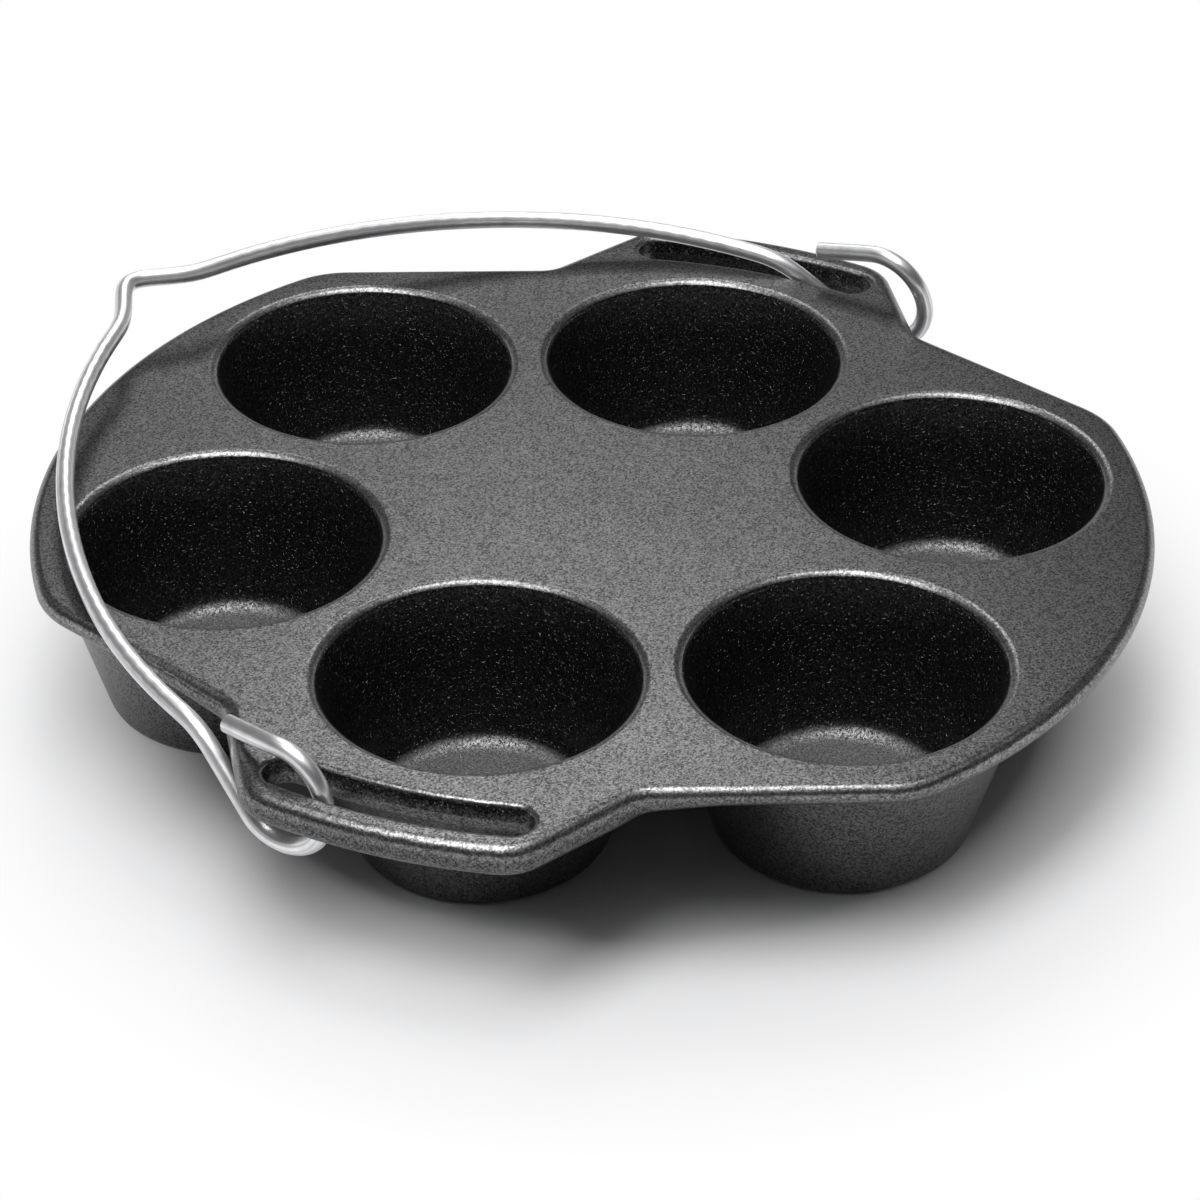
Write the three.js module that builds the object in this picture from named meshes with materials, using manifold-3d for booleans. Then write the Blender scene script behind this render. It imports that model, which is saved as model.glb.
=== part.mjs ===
// Cast iron muffin pan: six cups hang from one flat deck, and a loose wire bail is hooked
// through a slotted lug at each end. Millimetres, +Z up. The origin is the centre of the
// deck's flat top, the lugs lie on the Y axis, and the bail is laid down towards -X.
import * as THREE from 'three';
import { mergeVertices } from 'three/addons/utils/BufferGeometryUtils.js';
import Module from 'manifold-3d';

const wasm = await Module();
wasm.setup();

// Cups, measured inside
const CUP_RIM_RADIUS = 38.25;
const CUP_FLOOR_RADIUS = 27;
const CUP_DEPTH = 38.9;
const CUP_WALL = 5;
const CUP_BASE = 6;
const CUP_INSIDE_FILLET = 6.5;
const CUP_OUTSIDE_FILLET = 4;
const CUP_RIM_ROUND = 2.2;

// Places of the cups: bare deck left between their rims
const CENTRE_TO_SIDE_CUP = 40.75;
const CENTRE_TO_END_CUP = 38.45;
const SIDE_CUP_GAP = 11.1;

// Deck
const DECK_THICKNESS = 5.4;
const DECK_EDGE_ROUND = 2;
const SIDE_LAND = 9.3;
const SHOULDER_LAND = 10.9;
const SHOULDER_ANGLE = THREE.MathUtils.degToRad(68.6);
const SHOULDER_CORNER = 24;

// Lugs, thicker than the deck, each with one curved slot
const LUG_THICKNESS = 8.2;
const LUG_TAPER_LENGTH = 14;
const LUG_LAND = 9.6;
const LUG_BAR = 6.9;
const LUG_WEB = 6;
const LUG_FLANK_ANGLE = THREE.MathUtils.degToRad(30.3);
const LUG_CORNER = 13;
const LUG_NECK_FILLET = 8;
const SLOT_WIDTH = 10.2;
const SLOT_LENGTH = 64.5;

// Bail: one wire with an open eye at each end and a kink in the middle to hang it by
const WIRE_DIAMETER = 4.5;
const EYE_PLAY = 5.2;
const EYE_DROP = 1.1;
const EYE_LEAN = 0.113;
const EYE_TAIL = 16;
const EYE_TAIL_DIP = THREE.MathUtils.degToRad(16);
const EYE_TAIL_INSET = 3.2;
const BOW_SETBACK = 4.2;
const BOW_LIFT = 5.6;
const BOW_RISE = 12;
const BOW_RISE_ANGLE = THREE.MathUtils.degToRad(55.5);
const LEG_HEIGHT = 28.6;
const LEG_BEND = 6;
const KINK_HALF_WIDTH = 13.8;
const KINK_HEIGHT = 8.5;
const KINK_BEND = 5;

// How the loose bail lies: how far each eye's centre is from the middle of the web that it
// is hooked round, and how far the bow leans up from level
const FAR_EYE_SHIFT = new THREE.Vector3(0.55, -0.9, 2.35);
const NEAR_EYE_SHIFT = new THREE.Vector3(7.65, -1.35, -2.85);
const BAIL_LEAN = THREE.MathUtils.degToRad(7.25);

// Largest distance between a facet and the true curve
const OUTLINE_TOLERANCE = 0.08;
const CUP_TOLERANCE = 0.15;
const WIRE_SIDES = 10;
const WIRE_STEP = 4;
const BOW_SPACING = 12;

// Values that follow from the sizes above
const sideCupX = CENTRE_TO_SIDE_CUP + CUP_RIM_RADIUS;
const sideCupY = SIDE_CUP_GAP / 2 + CUP_RIM_RADIUS;
const endCupY = CENTRE_TO_END_CUP + CUP_RIM_RADIUS;
const slotRadius = endCupY + CUP_RIM_RADIUS + LUG_LAND + SLOT_WIDTH / 2;
const slotEndAngle = Math.asin((SLOT_LENGTH - SLOT_WIDTH) / 2 / slotRadius);
const lugRadius = slotRadius + SLOT_WIDTH / 2 + LUG_BAR;
const sideRadius = Math.hypot(sideCupX, sideCupY) + CUP_RIM_RADIUS + SIDE_LAND;
const slotEnd = polar(slotRadius, Math.PI / 2 - slotEndAngle);
const flank = polar(1, LUG_FLANK_ANGLE);
const flankReach = flank.dot(slotEnd) + SLOT_WIDTH / 2 + LUG_WEB;

function polar(radius, angle) {
  return new THREE.Vector2(radius * Math.cos(angle), radius * Math.sin(angle));
}

function arcSteps(radius, sweep, tolerance) {
  return Math.max(2, Math.ceil(Math.abs(sweep) / (2 * Math.acos(1 - tolerance / radius))));
}

function arcPoints(centre, radius, from, to, tolerance) {
  const steps = arcSteps(radius, to - from, tolerance);
  const points = [];
  for (let i = 0; i <= steps; i += 1) {
    points.push(polar(radius, from + ((to - from) * i) / steps).add(centre));
  }
  return points;
}

// A closed solid from a geometry, and the geometry of a solid
function solidOf(geometry) {
  geometry.deleteAttribute('normal');
  geometry.deleteAttribute('uv');
  const merged = mergeVertices(geometry, 1e-4);
  const index = merged.index.array;
  const triangles = [];
  for (let i = 0; i < index.length; i += 3) {
    const [a, b, c] = index.subarray(i, i + 3);
    if (a !== b && b !== c && c !== a) triangles.push(a, b, c);
  }
  return new wasm.Manifold(new wasm.Mesh({
    numProp: 3,
    vertProperties: new Float32Array(merged.attributes.position.array),
    triVerts: new Uint32Array(triangles),
  }));
}

function geometryOf(solid) {
  const mesh = solid.getMesh();
  const geometry = new THREE.BufferGeometry();
  geometry.setAttribute('position', new THREE.BufferAttribute(mesh.vertProperties, 3));
  geometry.setIndex(new THREE.BufferAttribute(mesh.triVerts, 1));
  geometry.computeVertexNormals();
  return geometry;
}

// A quarter of the deck's outline, from the +X axis round to the +Y axis: the round side,
// a straight shoulder, and the lug's flank and outer edge, each corner blended by an arc
function quarterOutline() {
  const origin = new THREE.Vector2();
  const shoulder = polar(1, SHOULDER_ANGLE);
  const sideCup = new THREE.Vector2(sideCupX, sideCupY);
  const shoulderReach = shoulder.dot(sideCup) + CUP_RIM_RADIUS + SHOULDER_LAND;

  const cornerReach = shoulderReach - SHOULDER_CORNER;
  const cornerTurn = Math.acos(cornerReach / (sideRadius - SHOULDER_CORNER));
  const cornerAngle = SHOULDER_ANGLE - cornerTurn;
  const corner = polar(sideRadius - SHOULDER_CORNER, cornerAngle);

  const neckA = shoulderReach + LUG_NECK_FILLET;
  const neckB = flankReach + LUG_NECK_FILLET;
  const cross = shoulder.x * flank.y - shoulder.y * flank.x;
  const neck = new THREE.Vector2(
    (neckA * flank.y - neckB * shoulder.y) / cross,
    (neckB * shoulder.x - neckA * flank.x) / cross,
  );

  const lugTurn = Math.acos((flankReach - LUG_CORNER) / (lugRadius - LUG_CORNER));
  const lugAngle = LUG_FLANK_ANGLE + lugTurn;
  const lugCorner = polar(lugRadius - LUG_CORNER, lugAngle);

  const tolerance = OUTLINE_TOLERANCE;
  return [
    ...arcPoints(origin, sideRadius, 0, cornerAngle, tolerance).slice(0, -1),
    ...arcPoints(corner, SHOULDER_CORNER, cornerAngle, SHOULDER_ANGLE, tolerance),
    ...arcPoints(neck, LUG_NECK_FILLET, SHOULDER_ANGLE + Math.PI, LUG_FLANK_ANGLE + Math.PI, tolerance),
    ...arcPoints(lugCorner, LUG_CORNER, LUG_FLANK_ANGLE, lugAngle, tolerance).slice(0, -1),
    ...arcPoints(origin, lugRadius, lugAngle, Math.PI / 2, tolerance),
  ];
}

// The quarter mirrored to all four sides, without repeating the points on the axes
function deckOutline() {
  const quarter = quarterOutline();
  const back = quarter.slice(0, -1).reverse();
  const half = [...quarter, ...back.map((p) => new THREE.Vector2(-p.x, p.y))];
  const front = half.slice(1, -1).map((p) => new THREE.Vector2(-p.x, -p.y));
  return [...half, ...front];
}

function slotOutline(side) {
  const origin = new THREE.Vector2();
  const middle = (side * Math.PI) / 2;
  const first = middle - slotEndAngle;
  const last = middle + slotEndAngle;
  const half = SLOT_WIDTH / 2;
  const tolerance = OUTLINE_TOLERANCE;
  return [
    ...arcPoints(origin, slotRadius + half, first, last, tolerance),
    ...arcPoints(polar(slotRadius, last), half, last, last + Math.PI, tolerance).slice(1, -1),
    ...arcPoints(origin, slotRadius - half, last, first, tolerance),
    ...arcPoints(polar(slotRadius, first), half, first + Math.PI, first + 2 * Math.PI, tolerance).slice(1, -1),
  ];
}

// Deck and lugs as one plate of the lugs' thickness, with rounded edges
function deckPlate() {
  const shape = new THREE.Shape(deckOutline());
  shape.holes = [1, -1].map((side) => new THREE.Path(slotOutline(side)));
  const plate = new THREE.ExtrudeGeometry(shape, {
    depth: LUG_THICKNESS - 2 * DECK_EDGE_ROUND,
    bevelThickness: DECK_EDGE_ROUND,
    bevelSize: DECK_EDGE_ROUND,
    bevelOffset: -DECK_EDGE_ROUND,
    bevelSegments: 2,
  });
  plate.translate(0, 0, DECK_EDGE_ROUND - LUG_THICKNESS);
  return solidOf(plate);
}

// The space under the deck that thins the plate between the lugs, ramped at both ends
function underRelief() {
  const drop = LUG_THICKNESS - DECK_THICKNESS;
  const flatHalf = endCupY + CUP_RIM_RADIUS - LUG_LAND - LUG_TAPER_LENGTH / 2;
  const slope = LUG_TAPER_LENGTH / drop;
  const deep = 2 * drop;
  const section = new THREE.Shape([
    new THREE.Vector2(-flatHalf, -DECK_THICKNESS),
    new THREE.Vector2(-flatHalf - slope * deep, -DECK_THICKNESS - deep),
    new THREE.Vector2(flatHalf + slope * deep, -DECK_THICKNESS - deep),
    new THREE.Vector2(flatHalf, -DECK_THICKNESS),
  ]);
  const length = 3 * sideRadius;
  const prism = new THREE.ExtrudeGeometry(section, { depth: length, bevelEnabled: false });
  prism.translate(0, 0, -length / 2);
  prism.rotateX(Math.PI / 2);
  prism.rotateZ(Math.PI / 2);
  return solidOf(prism);
}

// A solid of revolution about Z from profile points (radius, height), given upwards
function turned(profile) {
  const segments = arcSteps(CUP_RIM_RADIUS, 2 * Math.PI, CUP_TOLERANCE);
  const lathe = new THREE.LatheGeometry(profile, segments);
  lathe.rotateX(Math.PI / 2);
  return solidOf(lathe);
}

// Where a sloping wall and a level floor meet at (radius, floor), a fillet between them
function floorFillet(radius, floor, wallAngle, fillet) {
  const turn = Math.PI / 2 - wallAngle;
  const setback = fillet * Math.tan(turn / 2);
  const centre = new THREE.Vector2(radius - setback, floor + fillet);
  return arcPoints(centre, fillet, -Math.PI / 2, -Math.PI / 2 + turn, CUP_TOLERANCE);
}

const wallAngle = Math.atan2(CUP_RIM_RADIUS - CUP_FLOOR_RADIUS, CUP_DEPTH);

// The hollow of a cup, with the rounding of its rim, reaching a little above the deck
function cupHollow() {
  const roundTurn = Math.PI / 2 - wallAngle;
  const roundSetback = CUP_RIM_ROUND * Math.tan(roundTurn / 2);
  const roundCentre = new THREE.Vector2(CUP_RIM_RADIUS + roundSetback, -CUP_RIM_ROUND);
  return turned([
    new THREE.Vector2(0, -CUP_DEPTH),
    ...floorFillet(CUP_FLOOR_RADIUS, -CUP_DEPTH, wallAngle, CUP_INSIDE_FILLET),
    ...arcPoints(roundCentre, CUP_RIM_ROUND, Math.PI - wallAngle, Math.PI / 2, CUP_TOLERANCE),
    new THREE.Vector2(roundCentre.x, CUP_RIM_ROUND),
    new THREE.Vector2(0, CUP_RIM_ROUND),
  ]);
}

// The outside of a cup, parallel to its hollow, from inside the deck down to its foot
function cupBody() {
  const bottom = -CUP_DEPTH - CUP_BASE;
  const top = -DECK_THICKNESS / 2;
  const wallOffset = CUP_WALL / Math.cos(wallAngle);
  const radiusAt = (z) => CUP_RIM_RADIUS + wallOffset + z * Math.tan(wallAngle);
  return turned([
    new THREE.Vector2(0, bottom),
    ...floorFillet(radiusAt(bottom), bottom, wallAngle, CUP_OUTSIDE_FILLET),
    new THREE.Vector2(radiusAt(top), top),
    new THREE.Vector2(0, top),
  ]);
}

function cupPlaces() {
  const places = [[0, endCupY], [0, -endCupY]];
  for (const x of [sideCupX, -sideCupX]) {
    for (const y of [sideCupY, -sideCupY]) places.push([x, y]);
  }
  return places;
}

function castingGeometry() {
  const body = cupBody();
  const hollow = cupHollow();
  let casting = deckPlate().subtract(underRelief());
  for (const [x, y] of cupPlaces()) casting = casting.add(body.translate([x, y, 0]));
  for (const [x, y] of cupPlaces()) casting = casting.subtract(hollow.translate([x, y, 0]));
  return geometryOf(casting);
}

// The webs that close the slots at their ends carry the eyes: the far lug's right web and the
// near lug's left web. The bail swings about a level line through these two
const webInner = slotEnd.x + SLOT_WIDTH / 2;
const webOuter = (flankReach - flank.y * slotEnd.y) / flank.x;
const webMiddle = new THREE.Vector3((webInner + webOuter) / 2, slotEnd.y, 0);
const lugMiddle = new THREE.Vector3(0, 0, -LUG_THICKNESS / 2);
const farEye = lugMiddle.clone().add(webMiddle).add(FAR_EYE_SHIFT);
const nearEye = lugMiddle.clone().sub(webMiddle).add(NEAR_EYE_SHIFT);
const eyeSpan = farEye.clone().sub(nearEye);
const eyeRadius = Math.hypot((webOuter - webInner) / 2, LUG_THICKNESS / 2) + EYE_PLAY + WIRE_DIAMETER / 2;
const bowRadius = eyeSpan.length() / 2 - BOW_SETBACK;

// Points of a rounded corner between two straight runs
function bend(before, corner, after, size) {
  const start = corner.clone().add(before.clone().sub(corner).setLength(size));
  const end = corner.clone().add(after.clone().sub(corner).setLength(size));
  return new THREE.QuadraticBezierCurve3(start, corner, end).getPoints(4);
}

// A point of the bow, by its angle from the middle. The bow is an arc drawn out to the kink
function bowPoint(angle) {
  const rise = BOW_RISE * Math.max(0, 1 - angle / BOW_RISE_ANGLE) ** 2;
  const radius = bowRadius + rise;
  return new THREE.Vector3(
    radius * Math.sin(angle),
    BOW_LIFT + radius * Math.cos(angle),
    EYE_DROP,
  );
}

// A point of the eye, a circle about the line between the eyes whose top leans in a little
function eyePoint(angle) {
  const above = eyeRadius * Math.max(0, Math.sin(angle));
  return new THREE.Vector3(
    eyeSpan.length() / 2 - EYE_LEAN * above,
    eyeRadius * Math.cos(angle),
    eyeRadius * Math.sin(angle),
  );
}

// Centre line of half the bail, from the kink to one free end. x runs along the line between
// the eyes, y away from it in the plane of the bow, and z square to that plane
function halfBail() {
  const kinkAngle = Math.asin(KINK_HALF_WIDTH / bowRadius);
  const legAngle = Math.acos((LEG_HEIGHT - BOW_LIFT) / bowRadius);
  const peak = new THREE.Vector3(0, BOW_LIFT + bowRadius + BOW_RISE + KINK_HEIGHT, EYE_DROP);
  const bowSteps = Math.ceil((legAngle - kinkAngle) * bowRadius / BOW_SPACING);
  const bow = [];
  for (let i = 0; i <= bowSteps; i += 1) {
    bow.push(bowPoint(kinkAngle + ((legAngle - kinkAngle) * i) / bowSteps));
  }
  const kinkFoot = bow.shift();
  const legTop = bow.pop();
  const mirrorFoot = new THREE.Vector3(-kinkFoot.x, kinkFoot.y, kinkFoot.z);

  // The leg meets the eye from below as a tangent, and the eye turns on to its tail
  const eyeFrom = 2 * Math.PI - Math.acos(eyeRadius / LEG_HEIGHT);
  const eyeTo = Math.PI / 2 - EYE_TAIL_DIP;
  const eyeSteps = Math.ceil((eyeRadius * (eyeFrom - eyeTo)) / WIRE_STEP);
  const eye = [];
  for (let i = 0; i <= eyeSteps; i += 1) {
    eye.push(eyePoint(eyeFrom + ((eyeTo - eyeFrom) * i) / eyeSteps));
  }
  const tail = new THREE.Vector3(
    -EYE_TAIL_INSET,
    EYE_TAIL * Math.cos(EYE_TAIL_DIP),
    -EYE_TAIL * Math.sin(EYE_TAIL_DIP),
  ).add(eye[eyeSteps]);

  return [
    ...bend(mirrorFoot, peak, kinkFoot, KINK_BEND).slice(2),
    ...bend(peak, kinkFoot, bow[0], KINK_BEND),
    ...bow,
    ...bend(bow[bow.length - 1], legTop, eye[0], LEG_BEND),
    ...eye,
    eye[eyeSteps].clone().lerp(tail, 0.5),
    tail,
  ];
}

function bailGeometry() {
  const half = halfBail();
  const mirrored = half.slice(1).map((p) => new THREE.Vector3(-p.x, p.y, p.z));
  const path = new THREE.CatmullRomCurve3([...mirrored.reverse(), ...half], false, 'centripetal');
  const section = new THREE.Shape();
  section.absarc(0, 0, WIRE_DIAMETER / 2, 0, 2 * Math.PI);
  return new THREE.ExtrudeGeometry(section, {
    extrudePath: path,
    steps: Math.ceil(path.getLength() / WIRE_STEP),
    curveSegments: WIRE_SIDES / 2,
  });
}

const iron = new THREE.MeshStandardMaterial({ color: 0x2b2b2c, roughness: 0.6, metalness: 0.5 });
const steel = new THREE.MeshStandardMaterial({ color: 0xc9c9c6, roughness: 0.25, metalness: 1 });

const casting = new THREE.Mesh(castingGeometry(), iron);
casting.name = 'pan_casting';

const bail = new THREE.Mesh(bailGeometry(), steel);
bail.name = 'wire_bail';
bail.position.copy(nearEye).lerp(farEye, 0.5);
const bailYaw = Math.atan2(eyeSpan.y, eyeSpan.x);
const bailPitch = Math.asin(eyeSpan.z / eyeSpan.length());
bail.rotation.set(BAIL_LEAN, -bailPitch, bailYaw, 'ZYX');

const pan = new THREE.Group();
pan.add(casting, bail);

export default pan;
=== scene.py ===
import math
from functools import partial

import bmesh
import bpy
from mathutils import Euler, Matrix, Vector


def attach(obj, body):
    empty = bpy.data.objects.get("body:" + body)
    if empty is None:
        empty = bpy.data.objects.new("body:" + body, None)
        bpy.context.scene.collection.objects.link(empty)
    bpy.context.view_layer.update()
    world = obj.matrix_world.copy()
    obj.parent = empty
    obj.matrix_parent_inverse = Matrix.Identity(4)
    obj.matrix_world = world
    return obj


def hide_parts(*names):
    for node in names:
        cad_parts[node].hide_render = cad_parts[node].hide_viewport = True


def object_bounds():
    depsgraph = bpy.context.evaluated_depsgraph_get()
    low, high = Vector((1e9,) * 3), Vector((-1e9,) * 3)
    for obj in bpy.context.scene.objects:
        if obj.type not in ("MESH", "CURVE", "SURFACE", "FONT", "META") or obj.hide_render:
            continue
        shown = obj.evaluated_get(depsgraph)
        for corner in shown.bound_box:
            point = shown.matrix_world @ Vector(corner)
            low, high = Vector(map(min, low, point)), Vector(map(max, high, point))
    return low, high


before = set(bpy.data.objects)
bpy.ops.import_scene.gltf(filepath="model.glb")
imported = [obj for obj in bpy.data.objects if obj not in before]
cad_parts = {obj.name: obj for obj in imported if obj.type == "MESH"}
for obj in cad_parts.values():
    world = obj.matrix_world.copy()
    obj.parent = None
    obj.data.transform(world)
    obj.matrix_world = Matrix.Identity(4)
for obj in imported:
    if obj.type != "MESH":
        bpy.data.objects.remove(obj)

cad_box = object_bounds()
MM = 0.001

# Sizes of the casting in millimetres, as the solids have them
CUP_RIM_RADIUS = 38.25
CUP_FLOOR_RADIUS = 27.0
CUP_DEPTH = 38.9
CUP_WALL = 5.0
CUP_BASE = 6.0
CUP_INSIDE_FILLET = 6.5
CUP_OUTSIDE_FILLET = 4.0
CENTRE_TO_SIDE_CUP = 40.75
CENTRE_TO_END_CUP = 38.45
SIDE_CUP_GAP = 11.1
DECK_THICKNESS = 5.4
SIDE_LAND = 9.3
SHOULDER_LAND = 10.9
SHOULDER_ANGLE = math.radians(68.6)
SHOULDER_CORNER = 24.0
LUG_THICKNESS = 8.2
LUG_TAPER_LENGTH = 14.0
LUG_LAND = 9.6
LUG_BAR = 6.9
LUG_WEB = 6.0
LUG_FLANK_ANGLE = math.radians(30.3)
LUG_CORNER = 13.0
LUG_NECK_FILLET = 8.0
SLOT_WIDTH = 10.2
SLOT_LENGTH = 64.5

# Fillets between the cups and the underside of the deck, and the soft edges of a sand casting:
# a full bullnose round the deck, and slots with a parting ridge on the wall next to the cups
CUP_ROOT_FILLET = 4.0
CUP_ROOT_SINK = 0.05
DECK_BULLNOSE = 2.65
LUG_BULLNOSE = 3.4
SLOT_EDGE_ROUND = 1.6
CUP_LIP_ROUND = 2.9
SLOT_RIDGE = 0.6

# Sizes of the bail in millimetres, as the solid has them
WIRE_DIAMETER = 4.5
EYE_PLAY = 5.2
EYE_DROP = 1.1
EYE_LEAN = 0.113
EYE_TAIL = 16.0
EYE_TAIL_DIP = math.radians(16)
EYE_TAIL_INSET = 3.2
BOW_SETBACK = 4.2
BOW_LIFT = 5.6
BOW_RISE = 12.0
BOW_RISE_ANGLE = math.radians(55.5)
LEG_HEIGHT = 28.6
LEG_BEND = 6.0
KINK_HALF_WIDTH = 13.8
KINK_HEIGHT = 8.5
KINK_BEND = 5.0
FAR_EYE_SHIFT = Vector((0.55, -0.9, 2.35))
NEAR_EYE_SHIFT = Vector((7.65, -1.35, -2.85))
BAIL_LEAN = math.radians(7.25)

# The bail's cut ends, which the solid has square
WIRE_END_CHAMFER = 0.4

# Fineness and shading of the meshes
OUTLINE_TOLERANCE = 0.01
ROUND_STEPS = 6
CUP_SEGMENTS = 128
TAPER_STEPS = 8
WIRE_SIDES = 24
WIRE_STEP = 1.2
BEND_STEPS = 8
EASING_PASSES = 4
CASTING_SHARP_ANGLE = math.radians(35)
WIRE_SHARP_ANGLE = math.radians(40)

# Values that follow from the sizes above
side_cup = (CENTRE_TO_SIDE_CUP + CUP_RIM_RADIUS, SIDE_CUP_GAP / 2 + CUP_RIM_RADIUS)
end_cup_y = CENTRE_TO_END_CUP + CUP_RIM_RADIUS
slot_radius = end_cup_y + CUP_RIM_RADIUS + LUG_LAND + SLOT_WIDTH / 2
slot_end_angle = math.asin((SLOT_LENGTH - SLOT_WIDTH) / 2 / slot_radius)
slot_end = (slot_radius * math.sin(slot_end_angle), slot_radius * math.cos(slot_end_angle))
lug_radius = slot_radius + SLOT_WIDTH / 2 + LUG_BAR
side_radius = math.hypot(*side_cup) + CUP_RIM_RADIUS + SIDE_LAND
flank = (math.cos(LUG_FLANK_ANGLE), math.sin(LUG_FLANK_ANGLE))
flank_reach = flank[0] * slot_end[0] + flank[1] * slot_end[1] + SLOT_WIDTH / 2 + LUG_WEB
wall_angle = math.atan2(CUP_RIM_RADIUS - CUP_FLOOR_RADIUS, CUP_DEPTH)
half_ring = [(0, end_cup_y), side_cup, (side_cup[0], -side_cup[1])]
cup_places = half_ring + [(-x, -y) for x, y in half_ring]


def arc(centre, radius, start, end, inset=0.0):
    """Points of an arc. Its count follows from the radius without the inset, so that rings match."""
    step = 2 * math.acos(1 - OUTLINE_TOLERANCE / radius)
    count = max(3, math.ceil(abs(end - start) / step))
    reach = radius - inset
    angles = [start + (end - start) * i / count for i in range(count + 1)]
    return [(centre[0] + reach * math.cos(a), centre[1] + reach * math.sin(a)) for a in angles]


def quarter_outline(inset):
    """A quarter of the deck's outline, from the +X axis round to the +Y axis, moved in by inset."""
    shoulder = (math.cos(SHOULDER_ANGLE), math.sin(SHOULDER_ANGLE))
    shoulder_reach = shoulder[0] * side_cup[0] + shoulder[1] * side_cup[1] + CUP_RIM_RADIUS + SHOULDER_LAND

    corner_at = side_radius - SHOULDER_CORNER
    corner_angle = SHOULDER_ANGLE - math.acos((shoulder_reach - SHOULDER_CORNER) / corner_at)
    corner = (corner_at * math.cos(corner_angle), corner_at * math.sin(corner_angle))

    neck_a = shoulder_reach + LUG_NECK_FILLET
    neck_b = flank_reach + LUG_NECK_FILLET
    cross = shoulder[0] * flank[1] - shoulder[1] * flank[0]
    neck = (
        (neck_a * flank[1] - neck_b * shoulder[1]) / cross,
        (neck_b * shoulder[0] - neck_a * flank[0]) / cross,
    )

    lug_at = lug_radius - LUG_CORNER
    lug_angle = LUG_FLANK_ANGLE + math.acos((flank_reach - LUG_CORNER) / lug_at)
    lug_corner = (lug_at * math.cos(lug_angle), lug_at * math.sin(lug_angle))

    neck_from = SHOULDER_ANGLE + math.pi
    neck_to = LUG_FLANK_ANGLE + math.pi
    return (
        arc((0, 0), side_radius, 0, corner_angle, inset)[:-1]
        + arc(corner, SHOULDER_CORNER, corner_angle, SHOULDER_ANGLE, inset)
        + arc(neck, LUG_NECK_FILLET, neck_from, neck_to, -inset)
        + arc(lug_corner, LUG_CORNER, LUG_FLANK_ANGLE, lug_angle, inset)[:-1]
        + arc((0, 0), lug_radius, lug_angle, math.pi / 2, inset)
    )


def deck_outline(inset):
    quarter = quarter_outline(inset)
    half = quarter + [(-x, y) for x, y in reversed(quarter[:-1])]
    return half + [(-x, -y) for x, y in half[1:-1]]


def slot_outline(side, inset):
    """The slot's edge, moved into the metal by inset, in the same sense as the deck's outline."""
    middle = side * math.pi / 2
    first = middle - slot_end_angle
    last = middle + slot_end_angle
    half = SLOT_WIDTH / 2

    def cap(angle, start):
        centre = (slot_radius * math.cos(angle), slot_radius * math.sin(angle))
        return arc(centre, half, start, start + math.pi, -inset)[1:-1]

    return (
        arc((0, 0), slot_radius + half, first, last, -inset)
        + cap(last, last)
        + arc((0, 0), slot_radius - half, last, first, inset)
        + cap(first, first + math.pi)
    )


def ramp_start():
    """Distance from the middle at which the underside starts to drop to the thicker lugs."""
    return end_cup_y + CUP_RIM_RADIUS - LUG_LAND - LUG_TAPER_LENGTH / 2


def lug_share(y):
    """0 on the deck and 1 on the lugs, with a smooth ramp between."""
    share = min(1.0, max(0.0, (abs(y) - ramp_start()) / LUG_TAPER_LENGTH))
    return share * share * (3 - 2 * share)


def edge_rows(radius, ridge):
    """(inset, share of the thickness, height above that) of each row of points down an edge."""
    turns = [math.pi / 2 * i / ROUND_STEPS for i in range(ROUND_STEPS + 1)]
    top = [(radius * (1 - math.sin(a)), 0.0, radius * (math.cos(a) - 1)) for a in turns]
    bottom = [(inset, 1.0, -height) for inset, _, height in reversed(top)]
    return top + [(-ridge, 0.5, 0.0)] + bottom


def slot_ridge(x, y):
    """How far the parting ridge stands out of a slot's wall.

    It is full on the wall next to the cups, fades out round the slot's ends and isn't on the bar.
    """
    return SLOT_RIDGE * max(0.0, 2 * (slot_radius - math.hypot(x, y)) / SLOT_WIDTH)


def no_ridge(x, y):
    return 0.0


def add_edge(bm, hang, outline, deck_round, lug_round, ridge=no_ridge):
    """The faces round an edge, for an outline that is moved in by an inset. Returns its end rows."""
    columns = []
    for (x, y), (inner_x, inner_y) in zip(outline(0.0), outline(1.0)):
        radius = deck_round + (lug_round - deck_round) * lug_share(y)
        column = []
        for inset, share, height in edge_rows(radius, ridge(x, y)):
            place = (x + (inner_x - x) * inset, y + (inner_y - y) * inset, height - share * DECK_THICKNESS)
            column.append(bm.verts.new(place))
            column[-1][hang] = share
        columns.append(column)
    for left, right in zip(columns, columns[1:] + columns[:1]):
        for k in range(len(left) - 1):
            bm.faces.new((left[k], left[k + 1], right[k + 1], right[k]))
    return [c[0] for c in columns], [c[-1] for c in columns]


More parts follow.
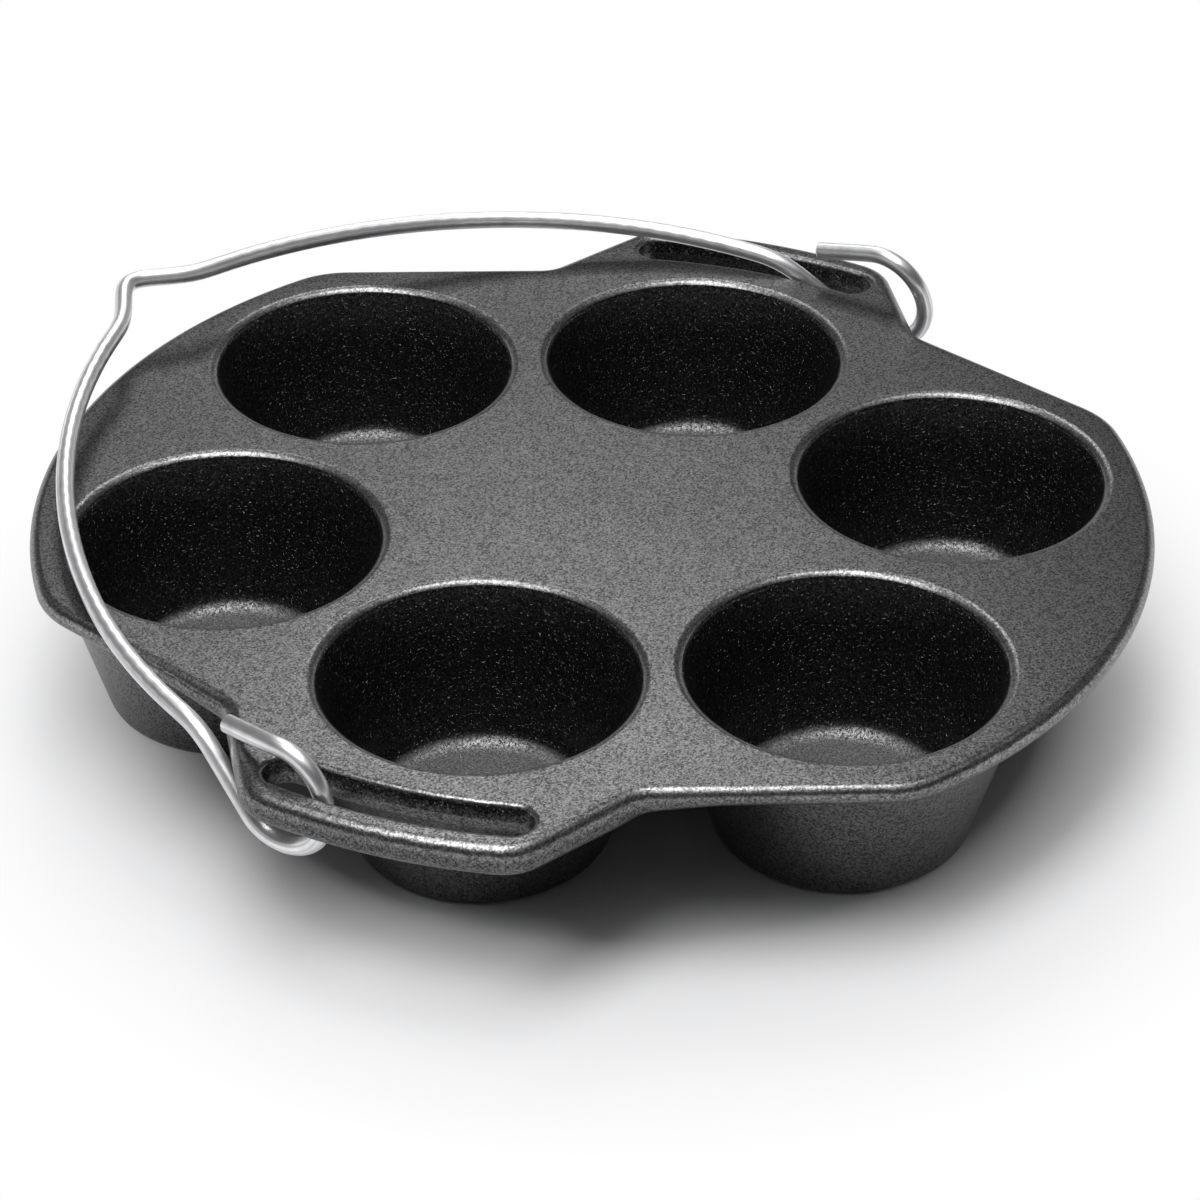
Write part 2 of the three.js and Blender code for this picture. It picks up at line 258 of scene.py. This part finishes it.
def deck_mesh():
    """Deck and lugs with rounded edges and two slots, as a closed mesh."""
    bm = bmesh.new()
    hang = bm.verts.layers.float.new("hang")
    edges = [add_edge(bm, hang, deck_outline, DECK_BULLNOSE, LUG_BULLNOSE)]
    for side in (1, -1):
        outline = partial(slot_outline, side)
        edges.append(add_edge(bm, hang, outline, SLOT_EDGE_ROUND, SLOT_EDGE_ROUND, slot_ridge))
    for face in (0, 1):
        border = []
        for edge in edges:
            row = edge[face]
            border += [bm.edges.get((v, row[(i + 1) % len(row)])) for i, v in enumerate(row)]
        bmesh.ops.triangle_fill(bm, edges=border, use_beauty=True)

    # Lines across the underside along the ramps, so that it can bend down to the thicker lugs
    for side in (1, -1):
        for i in range(TAPER_STEPS + 1):
            y = side * (ramp_start() + LUG_TAPER_LENGTH * i / TAPER_STEPS)
            everything = bm.verts[:] + bm.edges[:] + bm.faces[:]
            bmesh.ops.bisect_plane(bm, geom=everything, plane_co=(0, y, 0), plane_no=(0, 1, 0))
    for v in bm.verts:
        v.co.z -= v[hang] * (LUG_THICKNESS - DECK_THICKNESS) * lug_share(v.co.y)
    return bm


def turned(profile, places):
    """Closed meshes of revolution about Z at some places, from profile points (radius, height)."""
    bm = bmesh.new()
    turns = [2 * math.pi * i / CUP_SEGMENTS for i in range(CUP_SEGMENTS)]
    for x, y in places:
        rings = []
        for radius, z in profile:
            around = turns if radius else turns[:1]
            ring = [(x + radius * math.cos(a), y + radius * math.sin(a), z) for a in around]
            rings.append([bm.verts.new(point) for point in ring])
        for lower, upper in zip(rings, rings[1:]):
            for i in range(CUP_SEGMENTS):
                j = (i + 1) % CUP_SEGMENTS
                corners = [lower[i % len(lower)], lower[j % len(lower)]]
                corners += [upper[j % len(upper)], upper[i % len(upper)]]
                bm.faces.new(list(dict.fromkeys(corners)))
    return bm


def section_arc(centre, radius, start, end, count):
    angles = [start + (end - start) * i / count for i in range(count + 1)]
    return [(centre[0] + radius * math.cos(a), centre[1] + radius * math.sin(a)) for a in angles]


def floor_fillet(radius, floor, fillet):
    turn = math.pi / 2 - wall_angle
    centre = (radius - fillet * math.tan(turn / 2), floor + fillet)
    return section_arc(centre, fillet, -math.pi / 2, -math.pi / 2 + turn, ROUND_STEPS + 2)


def cup_hollows(places):
    turn = math.pi / 2 - wall_angle
    rim = (CUP_RIM_RADIUS + CUP_LIP_ROUND * math.tan(turn / 2), -CUP_LIP_ROUND)
    profile = [(0, -CUP_DEPTH)]
    profile += floor_fillet(CUP_FLOOR_RADIUS, -CUP_DEPTH, CUP_INSIDE_FILLET)
    profile += section_arc(rim, CUP_LIP_ROUND, math.pi - wall_angle, math.pi / 2, ROUND_STEPS)
    profile += [(rim[0], CUP_LIP_ROUND), (0, CUP_LIP_ROUND)]
    return turned(profile, places)


def cup_bodies(places):
    bottom = -CUP_DEPTH - CUP_BASE
    under = -DECK_THICKNESS + CUP_ROOT_SINK
    offset = CUP_WALL / math.cos(wall_angle)

    def radius_at(z):
        return CUP_RIM_RADIUS + offset + z * math.tan(wall_angle)

    turn = math.pi / 2 - wall_angle
    root = (radius_at(under) + CUP_ROOT_FILLET * math.tan(turn / 2), under - CUP_ROOT_FILLET)
    profile = [(0, bottom)]
    profile += floor_fillet(radius_at(bottom), bottom, CUP_OUTSIDE_FILLET)
    profile += section_arc(root, CUP_ROOT_FILLET, math.pi - wall_angle, math.pi / 2, ROUND_STEPS)
    top = -DECK_THICKNESS / 2
    profile += [(root[0], top), (0, top)]
    return turned(profile, places)


def new_object(name, bm):
    """An object in metres from a mesh made in millimetres."""
    bmesh.ops.triangulate(bm, faces=bm.faces)
    bmesh.ops.recalc_face_normals(bm, faces=bm.faces)
    bmesh.ops.scale(bm, vec=(MM, MM, MM), verts=bm.verts)
    mesh = bpy.data.meshes.new(name)
    bm.to_mesh(mesh)
    bm.free()
    obj = bpy.data.objects.new(name, mesh)
    bpy.context.scene.collection.objects.link(obj)
    return obj


def combine(obj, other, operation):
    """Applies a boolean with another object, which goes."""
    step = obj.modifiers.new(operation, "BOOLEAN")
    step.operation = operation
    step.solver = "MANIFOLD"
    step.object = other
    bpy.context.view_layer.update()
    evaluated = obj.evaluated_get(bpy.context.evaluated_depsgraph_get())
    made = bpy.data.meshes.new_from_object(evaluated)
    obj.modifiers.clear()
    obj.data = made
    bpy.data.objects.remove(other)


def smooth(obj, angle):
    obj.data.shade_smooth()
    obj.data.set_sharp_from_angle(angle=angle)
    weighted = obj.modifiers.new("flat faces stay flat", "WEIGHTED_NORMAL")
    weighted.weight = 100
    weighted.keep_sharp = True


def inside(face):
    """Whether a face of the casting is on a slot's upper wall, or inside a cup and below its lip."""
    x, y, z = face.center / MM
    along = math.atan2(abs(x), abs(y)) * slot_radius
    across = abs(math.hypot(x, y) - slot_radius)
    reach = SLOT_WIDTH / 2 + SLOT_EDGE_ROUND / 2
    if across < reach and along < slot_end_angle * slot_radius + reach:
        return -LUG_THICKNESS / 2 < z < -SLOT_EDGE_ROUND / 2
    # The lip ends two rows before its round runs out into the wall
    lip_turn = (math.pi / 2 - wall_angle) * (ROUND_STEPS - 2) / ROUND_STEPS
    lip = CUP_LIP_ROUND * (1 - math.cos(lip_turn))
    if z > -lip or z < -CUP_DEPTH - CUP_BASE / 2:
        return False
    reach = CUP_RIM_RADIUS + CUP_WALL / 2 + z * math.tan(wall_angle)
    return any(math.hypot(x - cx, y - cy) < reach for cx, cy in cup_places)


def make_casting():
    casting = new_object("cast_pan", deck_mesh())
    # Every second cup at a time, because the fillets of neighbours overlap
    for places in (cup_places[::2], cup_places[1::2]):
        combine(casting, new_object("cup_bodies", cup_bodies(places)), "UNION")
    combine(casting, new_object("cup_hollows", cup_hollows(cup_places)), "DIFFERENCE")
    casting.data.materials.clear()
    casting.data.materials.append(iron_material("seasoned_iron", inner=False))
    casting.data.materials.append(iron_material("seasoned_iron_inner", inner=True))
    # Faces inside the cups and slots take the inner material, with painted shade on its walls and painted
    # light on the cup floors
    for face in casting.data.polygons:
        face.material_index = int(inside(face))
    smooth(casting, CASTING_SHARP_ANGLE)
    return casting


# The bail's centre line
web_inner = slot_end[0] + SLOT_WIDTH / 2
web_outer = (flank_reach - flank[1] * slot_end[1]) / flank[0]
web_middle = Vector(((web_inner + web_outer) / 2, slot_end[1], 0))
lug_middle = Vector((0, 0, -LUG_THICKNESS / 2))
far_eye = lug_middle + web_middle + FAR_EYE_SHIFT
near_eye = lug_middle - web_middle + NEAR_EYE_SHIFT
eye_span = far_eye - near_eye
eye_radius = math.hypot((web_outer - web_inner) / 2, LUG_THICKNESS / 2) + EYE_PLAY + WIRE_DIAMETER / 2
bow_radius = eye_span.length / 2 - BOW_SETBACK


def bend(before, corner, after, size):
    """Points of a rounded corner between two straight runs."""
    start = corner + (before - corner).normalized() * size
    end = corner + (after - corner).normalized() * size
    shares = [i / BEND_STEPS for i in range(BEND_STEPS + 1)]
    return [start * (1 - t) ** 2 + corner * 2 * t * (1 - t) + end * t * t for t in shares]


def bow_point(angle):
    rise = BOW_RISE * max(0.0, 1 - angle / BOW_RISE_ANGLE) ** 2
    radius = bow_radius + rise
    return Vector((radius * math.sin(angle), BOW_LIFT + radius * math.cos(angle), EYE_DROP))


def eye_point(angle):
    above = eye_radius * max(0.0, math.sin(angle))
    return Vector((
        eye_span.length / 2 - EYE_LEAN * above,
        eye_radius * math.cos(angle),
        eye_radius * math.sin(angle),
    ))


def half_bail():
    """Centre line of half the bail, from the middle of the kink to one free end."""
    kink_angle = math.asin(KINK_HALF_WIDTH / bow_radius)
    leg_angle = math.acos((LEG_HEIGHT - BOW_LIFT) / bow_radius)
    peak = Vector((0, BOW_LIFT + bow_radius + BOW_RISE + KINK_HEIGHT, EYE_DROP))
    bow_steps = math.ceil((leg_angle - kink_angle) * bow_radius / KINK_BEND)
    bow_turns = [kink_angle + (leg_angle - kink_angle) * i / bow_steps for i in range(bow_steps + 1)]
    bow = [bow_point(angle) for angle in bow_turns]
    kink_foot = bow[0]
    leg_top = bow[-1]
    mirror_foot = Vector((-kink_foot.x, kink_foot.y, kink_foot.z))

    eye_from = 2 * math.pi - math.acos(eye_radius / LEG_HEIGHT)
    eye_to = math.pi / 2 - EYE_TAIL_DIP
    eye_steps = math.ceil(eye_radius * (eye_from - eye_to) / WIRE_STEP)
    eye_turns = [eye_from + (eye_to - eye_from) * i / eye_steps for i in range(eye_steps + 1)]
    eye = [eye_point(angle) for angle in eye_turns]
    tail = eye[-1] + Vector((
        -EYE_TAIL_INSET,
        EYE_TAIL * math.cos(EYE_TAIL_DIP),
        -EYE_TAIL * math.sin(EYE_TAIL_DIP),
    ))
    return (
        bend(mirror_foot, peak, kink_foot, KINK_BEND)[BEND_STEPS // 2:]
        + bend(peak, kink_foot, bow[1], KINK_BEND)
        + bow[2:-2]
        + bend(bow[-2], leg_top, eye[0], LEG_BEND)
        + eye
        + [tail]
    )


def even_path(points):
    """Points at even steps along a line, with its corners eased."""
    lengths = [0.0]
    for a, b in zip(points, points[1:]):
        lengths.append(lengths[-1] + (b - a).length)
    count = math.ceil(lengths[-1] / WIRE_STEP)
    path = []
    k = 0
    for i in range(count + 1):
        at = lengths[-1] * i / count
        while k < len(points) - 2 and lengths[k + 1] < at:
            k += 1
        share = (at - lengths[k]) / (lengths[k + 1] - lengths[k])
        path.append(points[k].lerp(points[k + 1], share))
    for _ in range(EASING_PASSES):
        middle = [(a + b * 2 + c) / 4 for a, b, c in zip(path, path[1:], path[2:])]
        path = [path[0]] + middle + [path[-1]]
    return path


def tube(name, path, radius, chamfer):
    """A wire along a path with chamfered ends, and a UV map in metres along and round it."""
    bm = bmesh.new()
    uv = bm.loops.layers.uv.new("wire")
    last = len(path) - 1
    tangents = [(path[min(i + 1, last)] - path[max(i - 1, 0)]).normalized() for i in range(last + 1)]
    stations = [(path[0], tangents[0], radius - chamfer)]
    stations.append((path[0] + tangents[0] * chamfer, tangents[0], radius))
    stations += [(p, t, radius) for p, t in zip(path[1:-1], tangents[1:-1])]
    stations.append((path[-1] - tangents[-1] * chamfer, tangents[-1], radius))
    stations.append((path[-1], tangents[-1], radius - chamfer))

    side = stations[0][1].orthogonal().normalized()
    rings = []
    along = []
    for i, (centre, tangent, size) in enumerate(stations):
        side = (side - tangent * side.dot(tangent)).normalized()
        other = tangent.cross(side)
        turns = [2 * math.pi * k / WIRE_SIDES for k in range(WIRE_SIDES)]
        ring = [bm.verts.new(centre + (side * math.cos(a) + other * math.sin(a)) * size) for a in turns]
        rings.append(ring)
        along.append(along[-1] + (centre - stations[i - 1][0]).length if i else 0.0)
    girth = 2 * math.pi * radius
    for i in range(len(rings) - 1):
        for k in range(WIRE_SIDES):
            n = (k + 1) % WIRE_SIDES
            face = bm.faces.new((rings[i][k], rings[i][n], rings[i + 1][n], rings[i + 1][k]))
            ends = ((k, i), (k + 1, i), (k + 1, i + 1), (k, i + 1))
            for loop, (turn, station) in zip(face.loops, ends):
                loop[uv].uv = (girth * turn / WIRE_SIDES * MM, along[station] * MM)
    for ring in (rings[0], rings[-1]):
        bm.faces.new(ring)
    return new_object(name, bm)


def make_bail():
    half = half_bail()
    mirrored = [Vector((-p.x, p.y, p.z)) for p in reversed(half[1:])]
    pitch = math.asin(eye_span.z / eye_span.length)
    yaw = math.atan2(eye_span.y, eye_span.x)
    turn = Euler((BAIL_LEAN, -pitch, yaw), "XYZ").to_matrix()
    middle = near_eye.lerp(far_eye, 0.5)
    path = [turn @ p + middle for p in even_path(mirrored + half)]
    bail = tube("bent_wire_bail", path, WIRE_DIAMETER / 2, WIRE_END_CHAMFER)
    bail.data.materials.append(wire_material())
    smooth(bail, WIRE_SHARP_ANGLE)
    return bail


# Iron: patterns per metre, the part of a noise that is used, and relief in metres
GRAIN_SCALE = 1700
FACET_SCALE = 2300
PIMPLE_SCALE = 1500
CLOUD_SCALE = 30
GRAIN_RANGE = (0.35, 0.70)
PIMPLE_RANGE = (0.60, 0.72)
CLOUD_RANGE = (0.3, 0.7)
TONE_RANGE = (0.35, 0.65)
GRAIN_RELIEF = 0.00005
PIMPLE_RELIEF = 0.0002

# Iron: colours, roughness and gloss. A pair is for the low and the high end of its pattern
PORE_GREY = 0.010
IRON_GREYS = (0.020, 0.034)
# Painted shade: cup and slot walls are much darker than the same iron outside
CUP_WALL_SHADE_GREYS = (0.003, 0.010)
# Painted light: cup floors are lighter than the outside iron, as if lit from above
CUP_FLOOR_LIT_GREYS = (0.06, 0.19)
IRON_ROUGHNESS = (0.35, 0.29)
CUP_ROUGHNESS = (0.36, 0.30)
IRON_IOR = 1.6
CUP_IOR = 1.5
GRAIN_GLOSS = (0.15, 1.2)
CUP_WALL_GLOSS = 0.65
CUP_FLOOR_GLOSS = 1.5
PIMPLE_GLOSS = 1.9
WEAR = (0.9, 1.5)
WEAR_ON_SIDES = 0.05
BARE_GLOSS = 0.5

# Iron: heights in metres, under the deck's flat top, between which the edges get worn, the wear
# ends down the sides, and a cup's wall with painted shade turns into its floor with painted light
WEAR_HEIGHTS = (-0.0003, -0.00002)
SIDE_HEIGHTS = (-0.0038, -0.0014)
CUP_FLOOR_HEIGHTS = (-0.0382, -0.0368)

# Wire: drawn lines per metre round it and along it, their relief in metres, and handling marks
LINE_SCALE = (1200.0, 15.0, 1.0)
LINE_RELIEF = 0.0001
LINE_RANGE = (0.35, 0.65)
SHEEN_RANGE = (0.3, 0.7)
DRAWN_GREYS = (0.58, 0.98)
WIRE_ROUGHNESS = (0.44, 0.28)
WIRE_METALLIC = 0.85
WIRE_ANISOTROPY = 0.6
MARK_SCALE = 220
MARK_RANGE = (0.45, 0.75)
MARK_STRENGTH = 0.5
MARK_GREY = 0.5

COOL_TINT = 1.01


class Nodes:
    """A short way to write a material's nodes."""

    def __init__(self, tree):
        self.tree = tree

    def add(self, kind, inputs=None, **settings):
        node = self.tree.nodes.new(kind)
        for key, value in settings.items():
            setattr(node, key, value)
        for key, value in (inputs or {}).items():
            if isinstance(value, bpy.types.NodeSocket):
                self.tree.links.new(value, node.inputs[key])
            else:
                node.inputs[key].default_value = value
        return node

    def calc(self, operation, *values):
        return self.add("ShaderNodeMath", dict(enumerate(values)), operation=operation).outputs[0]

    def noise(self, coords, scale, detail=2.0, roughness=0.5):
        settings = {"Vector": coords, "Scale": scale, "Detail": detail, "Roughness": roughness}
        return self.add("ShaderNodeTexNoise", settings).outputs["Fac"]

    def cells(self, coords, scale):
        """A different level for each grain."""
        return self.add("ShaderNodeTexVoronoi", {"Vector": coords, "Scale": scale}).outputs["Color"]

    def spread(self, value, low, high, to_low, to_high):
        settings = {"Value": value, "From Min": low, "From Max": high, "To Min": to_low, "To Max": to_high}
        return self.add("ShaderNodeMapRange", settings).outputs["Result"]

    def mix(self, share, first, second):
        node = self.add("ShaderNodeMix", data_type="RGBA")
        for key, value in ((0, share), (6, first), (7, second)):
            if isinstance(value, bpy.types.NodeSocket):
                self.tree.links.new(value, node.inputs[key])
            else:
                node.inputs[key].default_value = value
        return node.outputs[2]

    def bump(self, height, strength, distance, normal=None):
        settings = {"Height": height, "Strength": strength, "Distance": distance}
        if normal is not None:
            settings["Normal"] = normal
        return self.add("ShaderNodeBump", settings).outputs["Normal"]


def new_material(name):
    material = bpy.data.materials.new(name)
    material.use_nodes = True
    nodes = Nodes(material.node_tree)
    shader = material.node_tree.nodes["Principled BSDF"]
    return material, nodes, shader


def grey(level):
    return (level, level, level * COOL_TINT, 1.0)


def iron_material(name, inner):
    """Black seasoned cast iron: an even sand grain with dark pores.

    The outside has edges that are worn brighter. Inside the cups and slots the walls are painted darker,
    as shade, with sparse pimples, and the cup floors are painted lighter, as light falling on them.
    """
    material, nodes, shader = new_material(name)
    link = material.node_tree.links.new
    coords = nodes.add("ShaderNodeTexCoord").outputs["Object"]
    grain = nodes.noise(coords, GRAIN_SCALE, detail=2.0, roughness=0.6)
    cloud = nodes.noise(coords, CLOUD_SCALE, detail=4.0)
    height = nodes.add("ShaderNodeSeparateXYZ", {0: coords}).outputs["Z"]

    ups = nodes.spread(grain, *GRAIN_RANGE, 0.0, 1.0)
    facets = nodes.mix(0.5, grain, nodes.cells(coords, FACET_SCALE))
    shine = nodes.spread(facets, *GRAIN_RANGE, *GRAIN_GLOSS)
    if inner:
        floor = nodes.spread(height, *CUP_FLOOR_HEIGHTS, 1.0, 0.0)
        # Painted shade: the cup and slot walls are much darker than the outside iron
        wall_shade_colour = nodes.mix(ups, *map(grey, CUP_WALL_SHADE_GREYS))
        # Painted light: the cup floors are lighter than the outside iron, as if lit
        floor_light_colour = nodes.mix(ups, *map(grey, CUP_FLOOR_LIT_GREYS))
        link(nodes.mix(floor, wall_shade_colour, floor_light_colour), shader.inputs["Base Color"])
        spots = nodes.noise(coords, PIMPLE_SCALE, detail=1.0)
        pimples = nodes.spread(spots, *PIMPLE_RANGE, 0.0, 1.0)
        share = nodes.spread(floor, 0.0, 1.0, CUP_WALL_GLOSS, CUP_FLOOR_GLOSS)
        share = nodes.calc("MULTIPLY_ADD", pimples, PIMPLE_GLOSS, share)
        gloss = nodes.calc("MULTIPLY", shine, share)
        normal = nodes.bump(pimples, 1.0, PIMPLE_RELIEF)
        link(nodes.spread(cloud, *CLOUD_RANGE, *CUP_ROUGHNESS), shader.inputs["Roughness"])
        shader.inputs["IOR"].default_value = CUP_IOR
    else:
        body = nodes.mix(nodes.spread(cloud, *TONE_RANGE, 0.0, 1.0), *map(grey, IRON_GREYS))
        link(nodes.mix(ups, grey(PORE_GREY), body), shader.inputs["Base Color"])
        wear = nodes.spread(height, *WEAR_HEIGHTS, nodes.spread(cloud, *CLOUD_RANGE, *WEAR), 0.0)
        wear = nodes.spread(height, *SIDE_HEIGHTS, WEAR_ON_SIDES, wear)
        bare = nodes.calc("ADD", shine, BARE_GLOSS)
        gloss = nodes.calc("MULTIPLY_ADD", wear, bare, shine)
        normal = None
        link(nodes.spread(cloud, *CLOUD_RANGE, *IRON_ROUGHNESS), shader.inputs["Roughness"])
        shader.inputs["IOR"].default_value = IRON_IOR
    link(gloss, shader.inputs["Specular IOR Level"])
    link(nodes.bump(grain, 1.0, GRAIN_RELIEF, normal), shader.inputs["Normal"])
    return material


def wire_material():
    """Bright drawn steel with fine lines along the wire and a few darker handling marks."""
    material, nodes, shader = new_material("steel_wire")
    link = material.node_tree.links.new
    uv = nodes.add("ShaderNodeUVMap", uv_map="wire").outputs["UV"]
    stretched = nodes.add("ShaderNodeMapping", {"Vector": uv, "Scale": LINE_SCALE}).outputs["Vector"]
    lines = nodes.noise(stretched, 1.0, detail=2.0)
    coords = nodes.add("ShaderNodeTexCoord").outputs["Object"]
    marks = nodes.noise(coords, MARK_SCALE, detail=4.0)
    drawn = nodes.mix(nodes.spread(lines, *LINE_RANGE, 0.0, 1.0), *map(grey, DRAWN_GREYS))
    marked = nodes.spread(marks, *MARK_RANGE, 0.0, MARK_STRENGTH)
    link(nodes.mix(marked, drawn, grey(MARK_GREY)), shader.inputs["Base Color"])
    link(nodes.spread(lines, *SHEEN_RANGE, *WIRE_ROUGHNESS), shader.inputs["Roughness"])
    around = nodes.add("ShaderNodeTangent", direction_type="UV_MAP", uv_map="wire").outputs["Tangent"]
    link(around, shader.inputs["Tangent"])
    shader.inputs["Anisotropic"].default_value = WIRE_ANISOTROPY
    link(nodes.bump(lines, 0.5, LINE_RELIEF), shader.inputs["Normal"])
    shader.inputs["Metallic"].default_value = WIRE_METALLIC
    return material


# Stage: floor, light and camera, in metres and watts
FLOOR_LEVEL = cad_box[0][2]
FLOOR_RADIUS = 3.0
FLOOR_SIDES = 96
BACKDROP_HEIGHT = 0.6
FLOOR_GREYS = (0.86, 0.88)
FLOOR_TONE_SCALE = 6
FLOOR_ROUGHNESS = 0.6
SHADOW_SHIFT = (0.012, -0.008, 0.0)
SHADOW_EDGE = (0.112, 0.185)
FRONT = (0.34, -0.94, 0.0)
STUDIO_BACK = 0.08
STUDIO_FRONT = 0.02
STUDIO_CEILING = 0.8
WALL_TURN = (-0.6, 0.3)
CEILING_EDGE = (0.74, 0.93)
OVERHEAD_PLACE = (-0.05, -0.17, 1.0)
OVERHEAD_SIZE = (0.47, 0.87)
OVERHEAD_POWER = 7.3
BACK_PLACE = (-0.385, 0.908, 1.02)
BACK_SIZE = (0.45, 0.5)
BACK_POWER = 4.1


def make_floor():
    """A pale round floor whose rim is turned up as a low backdrop."""
    bm = bmesh.new()
    rim = section_arc((0, 0), FLOOR_RADIUS / MM, 0, 2 * math.pi, FLOOR_SIDES)[:-1]
    levels = (FLOOR_LEVEL / MM, (FLOOR_LEVEL + BACKDROP_HEIGHT) / MM)
    foot, top = ([bm.verts.new((x, y, z)) for x, y in rim] for z in levels)
    bm.faces.new(foot)
    for i in range(FLOOR_SIDES):
        bm.faces.new((foot[i - 1], foot[i], top[i], top[i - 1]))
    floor = new_object("studio_floor", bm)
    material, nodes, shader = new_material("pale_floor")
    coords = nodes.add("ShaderNodeTexCoord").outputs["Object"]
    tone = nodes.noise(coords, FLOOR_TONE_SCALE, detail=2.0)
    link = material.node_tree.links.new
    link(nodes.mix(tone, *map(grey, FLOOR_GREYS)), shader.inputs["Base Color"])
    shader.inputs["Roughness"].default_value = FLOOR_ROUGHNESS

    # Away from the object the floor and the backdrop are seen as plain white
    aside = nodes.add("ShaderNodeVectorMath", {0: coords, 1: SHADOW_SHIFT}, operation="SUBTRACT")
    offset = aside.outputs["Vector"]
    apart = nodes.add("ShaderNodeVectorMath", {0: offset}, operation="LENGTH").outputs["Value"]
    far = nodes.spread(apart, *SHADOW_EDGE, 0.0, 1.0)
    rays = nodes.add("ShaderNodeLightPath").outputs
    seen = nodes.calc("MAXIMUM", rays["Is Camera Ray"], rays["Is Glossy Ray"])
    seen = nodes.calc("MAXIMUM", seen, rays["Is Transmission Ray"])
    share = nodes.calc("MULTIPLY", far, seen)
    white = nodes.add("ShaderNodeEmission", {"Color": grey(1.0)}).outputs[0]
    both = nodes.add("ShaderNodeMixShader", {0: share, 1: shader.outputs[0], 2: white}).outputs[0]
    link(both, material.node_tree.nodes["Material Output"].inputs["Surface"])
    floor.data.materials.append(material)


def make_world():
    """A studio with a white ceiling and dim walls, darkest towards the front."""
    world = bpy.data.worlds.new("studio")
    bpy.context.scene.world = world
    world.use_nodes = True
    nodes = Nodes(world.node_tree)
    way = nodes.add("ShaderNodeTexCoord").outputs["Generated"]
    ahead = nodes.add("ShaderNodeVectorMath", {0: way, 1: FRONT}, operation="DOT_PRODUCT").outputs["Value"]
    walls = nodes.spread(ahead, *WALL_TURN, STUDIO_BACK, STUDIO_FRONT)
    up = nodes.add("ShaderNodeSeparateXYZ", {0: way}).outputs["Z"]
    room = nodes.spread(up, *CEILING_EDGE, walls, STUDIO_CEILING)
    background = world.node_tree.nodes["Background"]
    background.inputs["Color"].default_value = grey(1.0)
    world.node_tree.links.new(room, background.inputs["Strength"])


def make_light(name, place, size, power):
    """A softbox that points at the middle of the deck."""
    data = bpy.data.lights.new(name, "AREA")
    data.shape = "RECTANGLE"
    data.size, data.size_y = size
    data.energy = power
    light = bpy.data.objects.new(name, data)
    light.location = place
    light.rotation_euler = (-Vector(place)).to_track_quat("-Z", "Y").to_euler()
    bpy.context.scene.collection.objects.link(light)


def make_camera():
    """The photograph's camera, as fitted to the cup rims and the deck's outline."""
    right = Vector((0.939657, 0.342119, -0.000057))
    down = Vector((0.191768, -0.526843, -0.828047))
    forward = Vector((-0.283321, 0.778069, -0.560659))
    place = Vector((303.418, -827.767, 568.65)) * MM
    data = bpy.data.cameras.new("photo_camera")
    data.sensor_width = 36.0
    data.lens = 127.796
    data.clip_start = 0.01
    camera = bpy.data.objects.new("photo_camera", data)
    turn = Matrix((right, -down, -forward)).transposed()
    camera.matrix_world = Matrix.Translation(place) @ turn.to_4x4()
    bpy.context.scene.collection.objects.link(camera)
    bpy.context.scene.camera = camera


casting = make_casting()
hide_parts("pan_casting")
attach(casting, "pan")

bail = make_bail()
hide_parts("wire_bail")
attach(bail, "bail")

make_floor()
make_world()
make_light("overhead_softbox", OVERHEAD_PLACE, OVERHEAD_SIZE, OVERHEAD_POWER)
make_light("back_softbox", BACK_PLACE, BACK_SIZE, BACK_POWER)
make_camera()
bpy.context.scene.view_settings.view_transform = "Standard"
